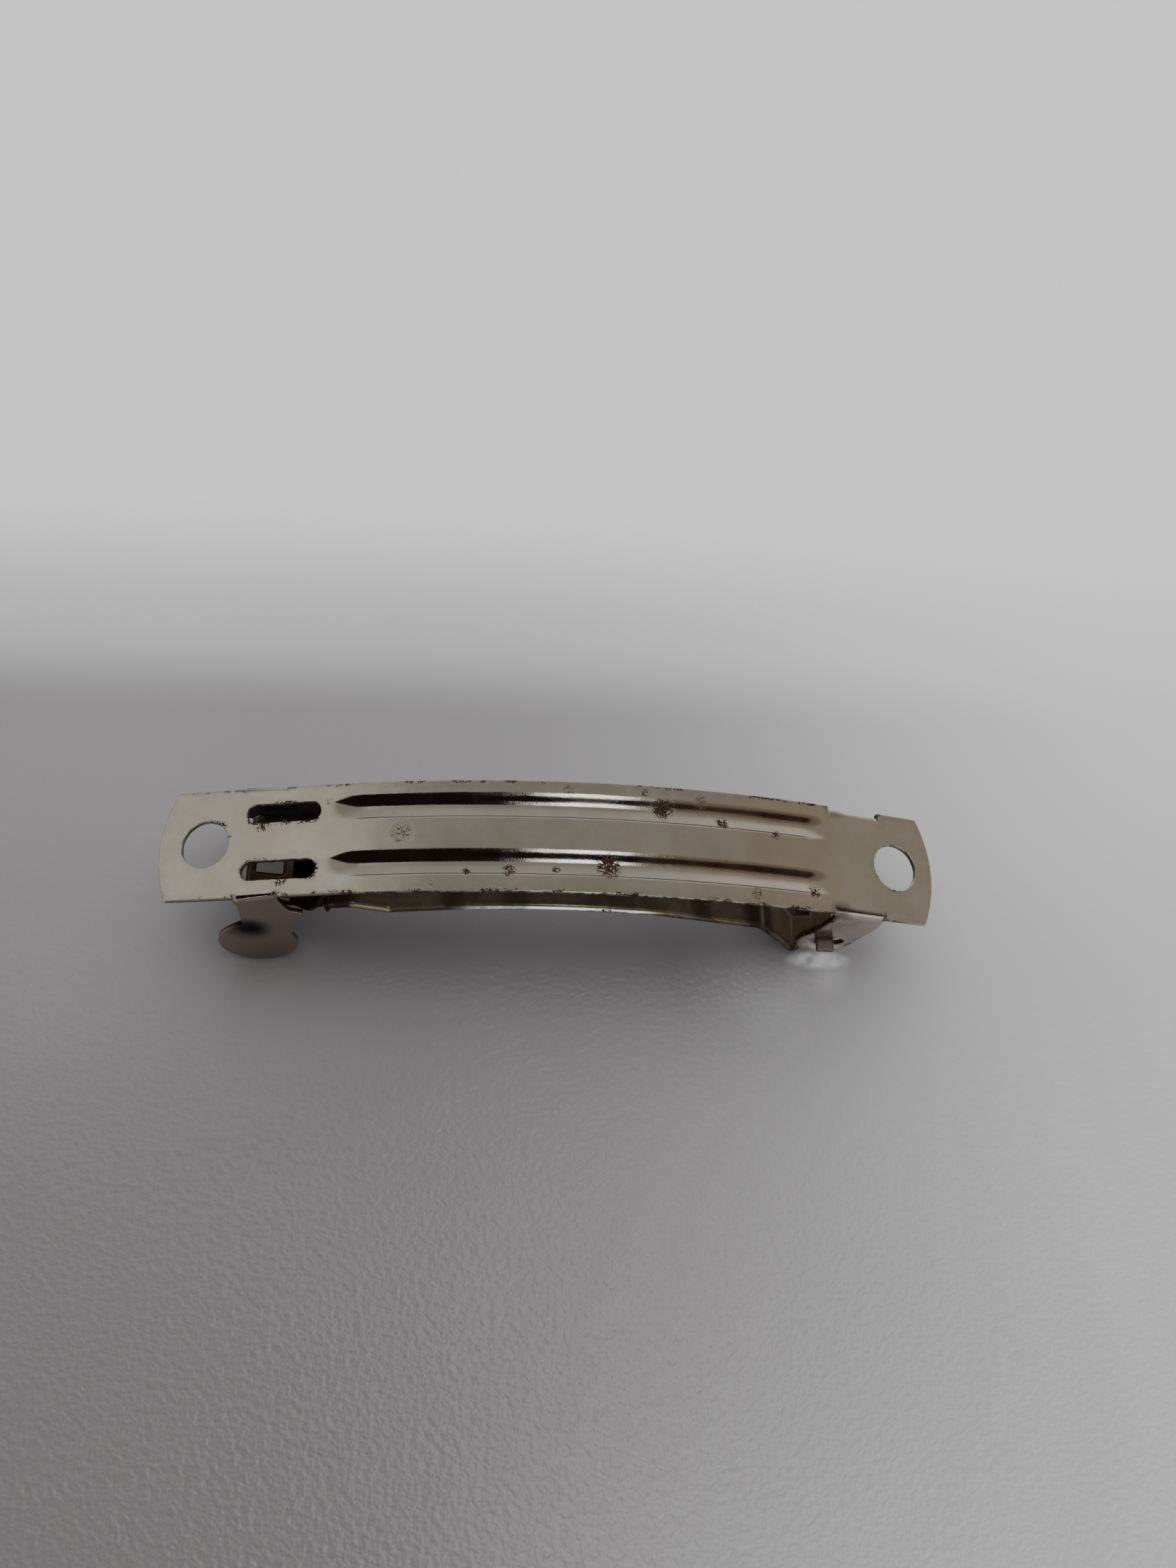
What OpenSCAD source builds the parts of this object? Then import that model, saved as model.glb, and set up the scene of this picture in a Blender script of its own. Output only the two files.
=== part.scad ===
// French barrette: a bowed and pressed base plate, a sprung tension bar under it
// and a clasp arm that turns on two side pegs. Millimetres, +Z up, resting on Z = 0.
// X runs along the plate from the latch (left) to the hinge (right), Y across it.

/* [Bowed plate] */
// Length of the plate along its bow, end to end
plate_len = 80; // [78:0.5:84]
// Width of the plate
plate_w = 11.5; // [11.3:0.1:12]
// Thickness of the plate's sheet
sheet_t = 0.5; // [0.4:0.05:0.6]
// Radius of the bow, to the plate's top
bow_r = 100.6; // [99:0.2:103]
// Slope of the straight latch end, in degrees
left_slope = 13.0; // [12:0.1:14]
// Slope of the straight hinge end, in degrees
right_slope = 17.1; // [16:0.1:18]
// Length of the straight latch end
left_straight = 17.2; // [17:0.1:18]
// How far each end's arc bulges past its corners
end_sag = 1.35; // [0.5:0.05:3]

/* [Holes and slots] */
// Diameter of the two end holes
hole_d = 4.9; // [3:0.1:5.5]
// Distance from the latch end to the centre of its hole
hole_in_left = 4.8; // [4:0.1:6]
// Distance from the hinge end to the centre of its hole
hole_in_right = 4.35; // [4:0.05:4.8]
// Length of each slot, end to end
slot_len = 7.7; // [5:0.1:8]
// Width of each slot
slot_w = 1.95; // [1:0.05:2.4]
// Distance of each slot's centre line from the middle
slot_y = 3.0; // [2.6:0.1:3.3]
// Distance from the latch end to the slots
slot_in = 8.85; // [8:0.05:9.2]

/* [Pressed grooves] */
// Half the distance between the two grooves' centre lines
groove_y = 2.95; // [2.6:0.05:3.1]
// How far the pair of grooves sits off the middle, towards the far side
groove_shift = 0.25; // [0:0.05:0.3]
// Width of each groove at the top of the sheet
groove_w = 2.5; // [1.5:0.1:2.8]
// Depth of each groove
groove_depth = 0.45; // [0.2:0.05:0.5]
// Distance along the bow from its left end to the groove's full depth
groove_in_left = 2.6; // [2.4:0.1:4]
// Distance along the bow from its right end to the groove's full depth
groove_in_right = 3.9; // [3.5:0.1:5]
// Slope at which a groove runs out at its ends, in degrees
groove_runout = 13; // [10:1:20]

/* [Hinge ears] */
// Width of each ear at its fold
ear_w = 5.8; // [5:0.1:6.2]
// Distance from the hinge end to the middle of the ears' fold
ear_in = 8.85; // [8.6:0.05:9.2]
// Inner radius of every fold in the sheet
fold_r = 0.4; // [0.3:0.05:0.6]
// Distance of each ear's outer face from the middle, at its fold
ear_out = 5.6; // [5.5:0.05:5.7]
// How far each ear leans outwards from square, in degrees
ear_splay = 2; // [1:0.5:4]
// Distance of the pivot down the ear from its fold
pivot_down = 7.4; // [7:0.05:7.6]
// Offset of the pivot from the middle of the ear, towards the end
pivot_shift = 0.57; // [0.2:0.05:0.8]
// Radius of the ear's round lower end
ear_r = 3.1; // [2.8:0.05:3.3]
// Radius of the pivot hole's seat
ear_hole_r = 0.975; // [0.9:0.005:1.1]
// Extra length of the pivot hole past its seat
ear_hole_slack = 1.2; // [0:0.1:1.4]

/* [Latch tabs] */
// Width of each tab at its fold
tab_w = 4.5; // [4:0.1:4.8]
// Distance from the latch end to the middle of the tabs' fold
tab_in = 10.5; // [10.3:0.05:10.8]
// Distance of each tab's outer face from the middle, at its fold
tab_out = 5.9; // [5.75:0.05:6]
// How far each tab leans outwards from square, in degrees
tab_splay = 8; // [7:0.5:11]
// How far each tab turns outwards towards the latch end, in degrees
tab_twist = 5; // [0:0.5:6]
// Radius of the round thumb paddle
paddle_r = 3.95; // [3.7:0.05:4.2]
// Distance of the paddle's centre down the tab from its fold
paddle_down = 8.45; // [8.2:0.05:8.6]
// Offset of the paddle's centre towards the latch end
paddle_shift = 3.25; // [2.7:0.05:3.4]
// Radius of the dimple pressed inwards into each paddle
dimple_r = 1.7; // [1.2:0.1:1.9]
// Depth of the dimple
dimple_depth = 0.7; // [0.3:0.05:0.8]
// Distance of the dimple's centre down the tab from its fold
dimple_down = 5.35; // [5.2:0.05:5.6]

/* [Clasp arm] */
// Thickness of the arm's sheet
arm_t = 0.65; // [0.5:0.05:0.7]
// Width of the arm along its back
arm_w = 11.3; // [10:0.1:11.4]
// Width of the arm between the hinge ears
arm_hinge_w = 10.3; // [9:0.1:10.4]
// Width of the neck at the latch
arm_neck_w = 8.6; // [8:0.1:9]
// Width of the arm's head across its two lugs
arm_head_w = 10.5; // [10:0.1:10.6]
// Diameter of the pegs across their round sides
peg_d = 1.85; // [1.7:0.01:1.9]
// How far each peg stands out of its ear
peg_proud = 1.25; // [0.6:0.05:1.3]

/* [Tension bar] */
// Thickness of the bar
bar_t = 0.4; // [0.3:0.05:0.4]
// Width of the bar under the plate
bar_w = 9.2; // [8:0.1:9.4]
// Width of the bar's two turned-down ends
bar_end_w = 10.9; // [10:0.1:11.1]
// Width of the pad that rests on the tabs' shoulders
bar_pad_w = 12.1; // [11.6:0.1:12.3]
// Running gap between the bar and the grooves above it
bar_gap = 0.08; // [0.05:0.01:0.15]

/* [Hidden] */
$fn = 64;
nickel = [0.66, 0.64, 0.60];
arm_grey = [0.60, 0.58, 0.54];
bar_grey = [0.54, 0.52, 0.48];

// the bow is one arc between the two straight ends
bow_angle = left_slope + right_slope;
bow_arc = bow_r * bow_angle * PI / 180;
right_straight = plate_len - left_straight - bow_arc;
fold_ro = fold_r + sheet_t;
end_r = (pow(plate_w / 2, 2) + pow(end_sag, 2)) / (2 * end_sag);

// box of the plate, used to centre the model over its origin
x_left = -bow_r * sin(left_slope) - left_straight * cos(left_slope);
x_right = bow_r * sin(right_slope) + right_straight * cos(right_slope);
x_mid = (x_left + x_right) / 2;

// height of the bow's top: the lowest point of the paddles stands on Z = 0
tab_x = left_straight - tab_in;
tab_fold_down = fold_ro * (1 - sin(tab_splay)) + paddle_down * cos(tab_splay);
tab_turn_lift = paddle_down * sin(tab_splay) * sin(tab_twist) * sin(left_slope);
paddle_centre_z = (tab_x + paddle_shift * cos(tab_twist)) * sin(left_slope)
    + tab_fold_down * cos(left_slope) - tab_turn_lift;
paddle_low = paddle_r * sqrt(pow(sin(left_slope), 2) + pow(cos(left_slope) * cos(tab_splay), 2))
    + sheet_t * sin(tab_splay) * cos(left_slope);
bow_top_z = bow_r * (1 - cos(left_slope)) + paddle_centre_z + paddle_low;

// groove section: an arc of radius groove_ri about a line above the sheet
groove_ri = (pow(groove_w / 2, 2) + pow(groove_depth, 2)) / (2 * groove_depth);
groove_lift = groove_ri - groove_depth;
groove_a0 = right_slope - groove_in_right / bow_r * 180 / PI;
groove_a1 = left_slope - groove_in_left / bow_r * 180 / PI;

// the pivot, first in the hinge end's frame and then in the bow's
ear_x = right_straight - ear_in;
pivot_x_local = ear_x + pivot_shift;
pivot_z_local = -fold_ro * (1 - sin(ear_splay)) - pivot_down * cos(ear_splay);
bow_right = [bow_r * sin(right_slope), bow_r * (cos(right_slope) - 1)];
pivot_x = bow_right[0] + pivot_x_local * cos(right_slope) + pivot_z_local * sin(right_slope);
pivot_z = bow_right[1] - pivot_x_local * sin(right_slope) + pivot_z_local * cos(right_slope);
peg_reach = plate_w / 2 + peg_proud;

// drop of the arm from its pegs to its heel, which stands on Z = 0 with the paddles
pad_r = 0.5;
heel_r = 0.45;
heel_clear = 0.02;
heel_depth = bow_top_z + pivot_z - heel_clear;
arm_drop = (heel_depth - (pad_r + heel_r) * (1 - cos(80)) - arm_t / 2) / sin(80);

// side profile of the arm, from its hinge end to the latch
// columns: straight length, bend radius, bend angle (+ turns towards the table)
ARM_HINGE = [
    [1.75, pad_r, 80],     // flat pad that carries the pegs
    [arm_drop, heel_r, -30]  // drop between the ears
];
ARM_BACK = [
    [0.0, heel_r, -108.4], // heel
    [8.1, 1.4, 41.9],      // steep flank
    [10.55, 8.0, 9.9],     // shoulder
    [2.65, 60.0, 19.2],    // bowed back
    [3.0, 1.0, -32.5],     // shallow wave
    [2.95, 2.0, 30.4],     // crest
    [1.2, 0, 0]
];
ARM_HEAD = [
    [0.0, 0.8, 60],        // step down
    [3.25, 0.8, -82],      // foot of the step
    [7.1, 0, 0]            // head between the tabs
];
arm_end_x = pivot_x + 0.9;

// side profile of the tension bar, from the top of the bow outwards
bar_r = bow_r - sheet_t - groove_depth - bar_gap - bar_t / 2;
BAR_RIGHT = [
    [0.0, bar_r, 12.9],    // bowed middle
    [0.0, 0.9, 50],        // turn down
    [1.95, 0.9, -64],      // foot
    [1.3, 0, 0]
];
BAR_LEFT = [
    [0.0, bar_r, 12.6],    // bowed middle
    [0.0, 1.2, 50],        // turn down
    [2.2, 1.3, -66],       // foot
    [1.4, 0, 0]            // pad on the tabs' shoulders
];
// length of the bar's middle, on each side of the top, that has the narrow width
bar_mid = bar_r * 12.6 * PI / 180 - 0.6;

// largest turn and largest chord of one straight piece of a bent profile
turn_step = 12;
chord_step = 2.5;

// stations [x, z, heading] along a path of straights and bends
function bend_count(row) =
    max(1, ceil(abs(row[2]) / turn_step), ceil(abs(row[2]) * PI / 180 * row[1] / chord_step));

function after_straight(at, row) =
    [at[0] + row[0] * cos(at[2]), at[1] + row[0] * sin(at[2]), at[2]];

function after_bend(at, row, part) =
    let (turn = row[2] * part)
    let (chord = 2 * row[1] * sin(abs(turn) / 2))
    [at[0] + chord * cos(at[2] + turn / 2), at[1] + chord * sin(at[2] + turn / 2), at[2] + turn];

function row_stations(at, row) =
    let (bend_at = after_straight(at, row))
    let (count = bend_count(row))
    concat(
        row[0] > 0 ? [bend_at] : [],
        row[2] == 0 ? [] : [for (i = [1 : count]) after_bend(bend_at, row, i / count)]
    );

function last(list) = list[len(list) - 1];

function walk(at, rows, i = 0) =
    i == len(rows) ? [] :
    let (found = row_stations(at, rows[i]))
    concat(found, walk(last(found), rows, i + 1));

// outline of a sheet of thickness t that follows the stations
function beside(station, gap) =
    [station[0] - gap * sin(station[2]), station[1] + gap * cos(station[2])];

function sheet_outline(stations, t) =
    concat(
        [for (s = stations) beside(s, t / 2)],
        [for (i = [len(stations) - 1 : -1 : 0]) beside(stations[i], -t / 2)]
    );

ARM_AT_END = [arm_end_x, pivot_z, 180];
ARM_HINGE_PATH = concat([ARM_AT_END], walk(ARM_AT_END, ARM_HINGE));
ARM_BACK_PATH = concat([last(ARM_HINGE_PATH)], walk(last(ARM_HINGE_PATH), ARM_BACK));
ARM_HEAD_PATH = concat([last(ARM_BACK_PATH)], walk(last(ARM_BACK_PATH), ARM_HEAD));

// the bar's right half is walked to the right, so its bends turn the other way
BAR_TOP_RIGHT = [0, bar_r - bow_r, 0];
BAR_TOP_LEFT = [0, bar_r - bow_r, 180];
BAR_RIGHT_PATH = walk(BAR_TOP_RIGHT, [for (row = BAR_RIGHT) [row[0], row[1], -row[2]]]);
BAR_LEFT_PATH = walk(BAR_TOP_LEFT, BAR_LEFT);
BAR_PATH = concat(
    [for (i = [len(BAR_LEFT_PATH) - 1 : -1 : 0])
        [BAR_LEFT_PATH[i][0], BAR_LEFT_PATH[i][1], BAR_LEFT_PATH[i][2] - 180]],
    [BAR_TOP_RIGHT],
    BAR_RIGHT_PATH
);

// puts the bow's top at its height over the centre of the table outline
module in_place() {
    translate([-x_mid, 0, bow_top_z]) children();
}

// frame on the plate's top at an angle along the bow, X along it and Z out of it
module on_bow(angle) {
    translate([bow_r * sin(angle), 0, bow_r * (cos(angle) - 1)])
        rotate([0, angle, 0])
            children();
}

// turns a solid of revolution about Z into one about the axis of the bow
module about_bow_axis() {
    translate([0, 0, -bow_r]) rotate([90, 0, 0]) children();
}

// bent strip: a side outline extruded across the part
module strip(stations, t, w) {
    rotate([90, 0, 0])
        linear_extrude(height = w, center = true)
            polygon(sheet_outline(stations, t));
}

// outline of a straight end of the plate, with its arced tip
module end_outline(length) {
    intersection() {
        translate([0, -plate_w / 2]) square([length + 1, plate_w]);
        translate([length - end_r, 0]) circle(r = end_r, $fn = 128);
    }
}

module slot_outline(length, w) {
    translate([w / 2, 0]) circle(d = w);
    translate([length - w / 2, 0]) circle(d = w);
    translate([w / 2, -w / 2]) square([length - w, w]);
}

module left_end() {
    on_bow(-left_slope)
        mirror([1, 0, 0])
            translate([0, 0, -sheet_t])
                linear_extrude(height = sheet_t)
                    difference() {
                        end_outline(left_straight);
                        translate([left_straight - hole_in_left, 0]) circle(d = hole_d);
                        for (side = [-1, 1])
                            translate([left_straight - slot_in - slot_len, side * slot_y])
                                slot_outline(slot_len, slot_w);
                    }
}

module right_end() {
    on_bow(right_slope)
        translate([0, 0, -sheet_t])
            linear_extrude(height = sheet_t)
                difference() {
                    end_outline(right_straight);
                    translate([right_straight - hole_in_right, 0]) circle(d = hole_d);
                }
}

module bowed_middle() {
    about_bow_axis()
        rotate([0, 0, 90 - right_slope])
            rotate_extrude(angle = bow_angle, $fn = 180)
                translate([bow_r - sheet_t, -plate_w / 2])
                    square([sheet_t, plate_w]);
}

// one groove as a round bar of radius r that dips into the sheet and runs out at its ends
module groove_bar(side, r) {
    across = side * groove_y + groove_shift;
    sweep = groove_a0 + groove_a1;
    about_bow_axis()
        rotate([0, 0, 90 - groove_a0])
            rotate_extrude(angle = sweep, $fn = 180)
                translate([bow_r + groove_lift, -across])
                    circle(r = r, $fn = 48);
    for (end = [[groove_a0, 0], [-groove_a1, 1]])
        on_bow(end[0])
            mirror([end[1], 0, 0])
                translate([0, across, groove_lift])
                    rotate([0, 90 - groove_runout, 0])
                        translate([0, 0, -0.2])
                            cylinder(r = r, h = groove_lift / tan(groove_runout) * 0.75, $fn = 48);
}

// the sheet that a groove pushes out underneath, kept below the plate's top
module groove_backs() {
    intersection() {
        union() {
            for (side = [-1, 1])
                groove_bar(side, groove_ri + sheet_t);
        }
        about_bow_axis()
            rotate([0, 0, 90 - right_slope + 0.5])
                rotate_extrude(angle = bow_angle - 1, $fn = 180)
                    translate([bow_r - 3, -plate_w / 2 + 0.3])
                        square([3 - 0.01, plate_w - 0.6]);
    }
}

// a fold along the plate's near edge: a quarter bend, then a flat tab in its own frame,
// X along the plate and Y down the tab, with the sheet on the inner side
module folded(width, out, splay) {
    edge_y = -(out - fold_ro);
    translate([-width / 2, edge_y, -fold_ro])
        rotate([180, 0, 0])
            rotate([0, 90, 0])
                rotate_extrude(angle = 90 - splay)
                    translate([fold_r, 0])
                        square([sheet_t, width]);
    translate([0, edge_y - fold_ro * cos(splay), -fold_ro + fold_ro * sin(splay)])
        rotate([-(90 + splay), 0, 0])
            children();
}

// turns a tab outwards about the middle of its fold
module turned(out, angle) {
    translate([0, -(out - fold_ro), 0])
        rotate([0, 0, angle])
            translate([0, out - fold_ro, 0])
                children();
}

module notch(width, out, overlap = 0) {
    translate([-width / 2, -out - 1, -sheet_t - 1])
        cube([width, fold_ro + 1 - overlap, sheet_t + 2]);
}

// both sides of the plate
module both_sides() {
    for (side = [0, 1])
        mirror([0, side, 0])
            children();
}

module ear_outline() {
    difference() {
        union() {
            polygon([
                [-ear_w / 2, -0.2],
                [-ear_w / 2 + 0.7, 0.6],
                [-ear_w / 2 + 1.1, 2.0],
                [-ear_w / 2 + 1.1, pivot_down - 2.4],
                [-ear_w / 2 + 0.55, pivot_down - 0.6],
                [pivot_shift, pivot_down],
                [ear_w / 2 + 0.9, pivot_down - 0.4],
                [ear_w / 2 + 0.9, 2.4],
                [ear_w / 2 + 0.35, 0.3],
                [ear_w / 2 + 0.35, -0.2]
            ]);
            translate([pivot_shift + 0.15, pivot_down + 0.1]) circle(r = ear_r);
        }
        translate([pivot_shift, pivot_down]) {
            circle(r = ear_hole_r);
            translate([ear_hole_slack, 0]) circle(r = ear_hole_r);
            translate([0, -ear_hole_r]) square([ear_hole_slack, 2 * ear_hole_r]);
        }
    }
}

module ear() {
    folded(ear_w, ear_out, ear_splay)
        linear_extrude(height = sheet_t)
            ear_outline();
}

module tab_outline() {
    polygon([
        [-tab_w / 2, -0.3],
        [-tab_w / 2 + 0.2, 0.3],
        [-tab_w / 2 - 0.05, 2.1],
        [-tab_w / 2 - 0.15, 4.6],
        [-paddle_shift, paddle_down],
        [0, 8.5],
        [tab_w / 2 - 0.8, 6.5],
        [tab_w / 2, 5.4],
        [tab_w / 2 + 0.85, 4.1],
        [tab_w / 2 + 1.15, 3.6],
        [tab_w / 2, 2.75],
        [tab_w / 2 - 0.15, 1.9],
        [tab_w / 2 - 0.2, -0.3]
    ]);
    translate([-paddle_shift, paddle_down]) circle(r = paddle_r, $fn = 96);
}

module tab() {
    ball_r = (pow(dimple_r, 2) + pow(dimple_depth, 2)) / (2 * dimple_depth);
    dimple_at = [-paddle_shift + 0.35, dimple_down, dimple_depth - ball_r];
    turned(tab_out, tab_twist)
        folded(tab_w, tab_out, tab_splay)
            difference() {
                union() {
                    linear_extrude(height = sheet_t) tab_outline();
                    intersection() {
                        translate(dimple_at) sphere(r = ball_r + sheet_t);
                        translate([0, 0, 0.1]) linear_extrude(height = 2) tab_outline();
                    }
                }
                translate(dimple_at) sphere(r = ball_r);
            }
}

module base_plate() {
    color(nickel)
        in_place() {
            difference() {
                union() {
                    left_end();
                    bowed_middle();
                    right_end();
                    groove_backs();
                }
                for (side = [-1, 1])
                    groove_bar(side, groove_ri);
                both_sides() {
                    on_bow(right_slope) translate([ear_x, 0, 0]) notch(ear_w, ear_out);
                    on_bow(-left_slope) translate([-tab_x, 0, 0]) notch(tab_w, tab_out, 0.25);
                }
            }
            both_sides() {
                on_bow(right_slope) translate([ear_x, 0, 0]) ear();
                on_bow(-left_slope) translate([-tab_x, 0, 0]) tab();
            }
        }
}

// plan of the arm's head: a neck, two lugs and a rounded tip with a window
module head_plan() {
    tip = last(ARM_HEAD_PATH)[0] - 0.5;
    lug_len = 2.6;
    difference() {
        union() {
            translate([tip + 1.2, -arm_neck_w / 2]) square([12, arm_neck_w]);
            translate([tip + 1.2, -arm_head_w / 2]) square([lug_len, arm_head_w]);
            translate([tip, -arm_head_w / 2 + 1.2]) square([2, arm_head_w - 2.4]);
            for (side = [-1, 1])
                translate([tip + 1.2, side * (arm_head_w / 2 - 1.2)]) circle(r = 1.2);
        }
        translate([tip + 1.4, -1.1]) square([2.6, 2.2]);
    }
}

module pegs() {
    intersection() {
        rotate([90, 0, 0]) cylinder(d = peg_d, h = 2 * peg_reach, center = true);
        cube([2 * peg_d, 3 * peg_reach, arm_t], center = true);
    }
}

module clasp_arm() {
    color(arm_grey)
        in_place() {
            strip(ARM_HINGE_PATH, arm_t, arm_hinge_w);
            strip(ARM_BACK_PATH, arm_t, arm_w);
            intersection() {
                strip(ARM_HEAD_PATH, arm_t, arm_head_w);
                translate([0, 0, -20]) linear_extrude(height = 20) head_plan();
            }
            translate([pivot_x, 0, pivot_z]) pegs();
        }
}

// plan of the tension bar: a narrow middle with wide ends
module bar_plan() {
    pad_x = last(BAR_LEFT_PATH)[0] + 1.9;
    square([2 * bar_mid, bar_w], center = true);
    for (side = [-1, 1])
        translate([side * (bar_mid + 6), 0])
            square([12, bar_end_w], center = true);
    polygon([
        [pad_x - 5, -bar_pad_w / 2],
        [pad_x - 0.5, -bar_pad_w / 2],
        [pad_x + 0.7, -bar_end_w / 2],
        [pad_x + 0.7, bar_end_w / 2],
        [pad_x - 0.5, bar_pad_w / 2],
        [pad_x - 5, bar_pad_w / 2]
    ]);
}

module tension_bar() {
    color(bar_grey)
        in_place()
            intersection() {
                strip(BAR_PATH, bar_t, bar_pad_w);
                translate([0, 0, -14]) linear_extrude(height = 16) bar_plan();
            }
}

base_plate();
clasp_arm();
tension_bar();
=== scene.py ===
"""French barrette, dressed: three bent sheets of worn nickel-plated steel on a pale table.

Sizes are in millimetres until a mesh is made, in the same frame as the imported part:
X runs along the plate from the latch to the hinge, Y across it, Z up from the table.
Places in the materials, the lamp and the camera are in metres, as the meshes are.
"""

import math

import bmesh
import bpy
import numpy as np
from mathutils import Matrix, Vector, noise
from mathutils.geometry import delaunay_2d_cdt


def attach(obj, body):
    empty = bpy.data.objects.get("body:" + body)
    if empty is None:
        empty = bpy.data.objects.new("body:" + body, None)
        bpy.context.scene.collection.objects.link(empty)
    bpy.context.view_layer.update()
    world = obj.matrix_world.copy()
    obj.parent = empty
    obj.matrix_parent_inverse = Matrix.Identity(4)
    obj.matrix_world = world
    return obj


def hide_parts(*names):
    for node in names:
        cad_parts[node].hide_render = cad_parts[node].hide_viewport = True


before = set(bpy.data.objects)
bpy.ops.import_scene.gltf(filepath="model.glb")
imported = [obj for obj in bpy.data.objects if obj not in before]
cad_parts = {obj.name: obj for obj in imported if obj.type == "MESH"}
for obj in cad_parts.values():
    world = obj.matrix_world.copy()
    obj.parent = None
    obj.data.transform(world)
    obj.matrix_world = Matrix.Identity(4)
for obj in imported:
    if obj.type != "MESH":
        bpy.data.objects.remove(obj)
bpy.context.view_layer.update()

MM = 0.001
DEG = math.pi / 180

# named sizes, the same as the part's source

PLATE_LEN, PLATE_W, SHEET_T = 80.0, 11.5, 0.5
BOW_R, LEFT_SLOPE, RIGHT_SLOPE = 100.6, 13.0 * DEG, 17.1 * DEG
LEFT_STRAIGHT, END_SAG = 17.2, 1.35
HOLE_R, HOLE_IN_LEFT, HOLE_IN_RIGHT = 2.45, 4.8, 4.35
SLOT_LEN, SLOT_W, SLOT_Y, SLOT_IN = 7.7, 1.95, 3.0, 8.85
GROOVE_Y, GROOVE_SHIFT, GROOVE_W, GROOVE_DEPTH = 2.95, 0.25, 2.5, 0.45
FOLD_R = 0.4
EAR_W, EAR_IN, EAR_OUT, EAR_SPLAY = 5.8, 8.85, 5.6, 2 * DEG
PIVOT_DOWN, PIVOT_SHIFT = 7.4, 0.57
EAR_R, EAR_HOLE_R, EAR_HOLE_SLACK = 3.1, 0.975, 1.2
TAB_W, TAB_IN, TAB_OUT, TAB_SPLAY, TAB_TWIST = 4.5, 10.5, 5.9, 8 * DEG, 5 * DEG
PADDLE_R, PADDLE_DOWN, PADDLE_SHIFT = 3.95, 8.45, 3.25
DIMPLE_DEPTH, DIMPLE_DOWN = 0.7, 5.35
ARM_T, ARM_W, ARM_HINGE_W, ARM_NECK_W, ARM_HEAD_W = 0.65, 11.3, 10.3, 8.6, 10.5
PEG_D, PEG_PROUD = 1.85, 1.25
BAR_T, BAR_W, BAR_END_W, BAR_PAD_W, BAR_GAP = 0.4, 9.2, 10.9, 12.1, 0.08

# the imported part's middle along X, measured from the top of the bow, and that top's height
X_MID, BOW_TOP_Z = -0.14914, 17.6803
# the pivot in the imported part, and measured from the top of the bow
PACKED_PIVOT_X, PACKED_PIVOT_Z = 28.8962, 4.8432
PIVOT_X, PIVOT_Z = PACKED_PIVOT_X + X_MID, PACKED_PIVOT_Z - BOW_TOP_Z

TIP_LEFT = -BOW_R * LEFT_SLOPE - LEFT_STRAIGHT
TIP_RIGHT = TIP_LEFT + PLATE_LEN
END_R = ((PLATE_W / 2) ** 2 + END_SAG ** 2) / (2 * END_SAG)
TAB_S = TIP_LEFT + TAB_IN
EAR_S = TIP_RIGHT - EAR_IN


# outlines in the flat

def arc(cx, cy, r, a0, a1, step=0.2):
    """Points of an arc from angle a0 to a1, in degrees."""
    count = max(2, int(abs(a1 - a0) * DEG * r / step) + 1)
    angles = [(a0 + (a1 - a0) * i / count) * DEG for i in range(count + 1)]
    return [(cx + r * math.cos(a), cy + r * math.sin(a)) for a in angles]


def circle(cx, cy, r):
    return arc(cx, cy, r, 0, 360, 0.15)[:-1]


def stadium(x0, x1, y, r, step=0.12):
    return arc(x1, y, r, -90, 90, step) + arc(x0, y, r, 90, 270, step)


def eased(points, r):
    """The corners of an open run of points, rounded to about r."""
    out = [points[0]]
    for before, at, after in zip(points, points[1:], points[2:]):
        a, b, c = Vector(before), Vector(at), Vector(after)
        cut = min(r, (a - b).length / 2.2, (c - b).length / 2.2)
        p, q = b + (a - b).normalized() * cut, b + (c - b).normalized() * cut
        for i in range(5):
            u = i / 4
            m = p * (1 - u) ** 2 + b * (2 * u * (1 - u)) + q * u ** 2
            out.append((m.x, m.y))
    out.append(points[-1])
    return out


def dense(loop, step):
    """A closed loop with no side longer than step."""
    out = []
    for a, b in zip(loop, loop[1:] + loop[:1]):
        length = math.dist(a, b)
        if length < 1e-6:
            continue
        count = max(1, math.ceil(length / step))
        for i in range(count):
            u = i / count
            out.append((a[0] + (b[0] - a[0]) * u, a[1] + (b[1] - a[1]) * u))
    return out


def inset(loop, gap, hole):
    """The loop moved into the sheet by gap."""
    p = np.array(loop)
    area = 0.5 * np.sum(p[:, 0] * np.roll(p[:, 1], -1) - np.roll(p[:, 0], -1) * p[:, 1])
    side = (1 if area > 0 else -1) * (-1 if hole else 1)
    edge = np.roll(p, -1, 0) - p
    edge /= np.linalg.norm(edge, axis=1)[:, None]
    normal = np.stack([-edge[:, 1], edge[:, 0]], 1) * side
    total = normal + np.roll(normal, 1, 0)
    total /= np.maximum(np.linalg.norm(total, axis=1)[:, None], 1e-6)
    widen = 1 / np.clip(np.sum(total * normal, 1), 0.6, 1)
    return p + total * (gap * widen)[:, None]


def inside(points, loops):
    """Whether each point lies within the loops, by the even-odd rule."""
    result = np.zeros(len(points), bool)
    x, y = points[:, 0], points[:, 1]
    for loop in loops:
        p = np.array(loop)
        for (x0, y0), (x1, y1) in zip(p, np.roll(p, -1, 0)):
            if y0 == y1:
                continue
            crosses = (y0 > y) != (y1 > y)
            result ^= crosses & (x < (x1 - x0) * (y - y0) / (y1 - y0) + x0)
    return result


def rim_distance(points, loops):
    """Distance from each point to the nearest edge of the sheet."""
    best = np.full(len(points), 1e9)
    for loop in loops:
        p = np.array(loop)
        for a, b in zip(p, np.roll(p, -1, 0)):
            d = b - a
            u = np.clip(((points - a) @ d) / max(d @ d, 1e-12), 0, 1)
            best = np.minimum(best, np.linalg.norm(points - a - u[:, None] * d, axis=1))
    return best


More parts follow.
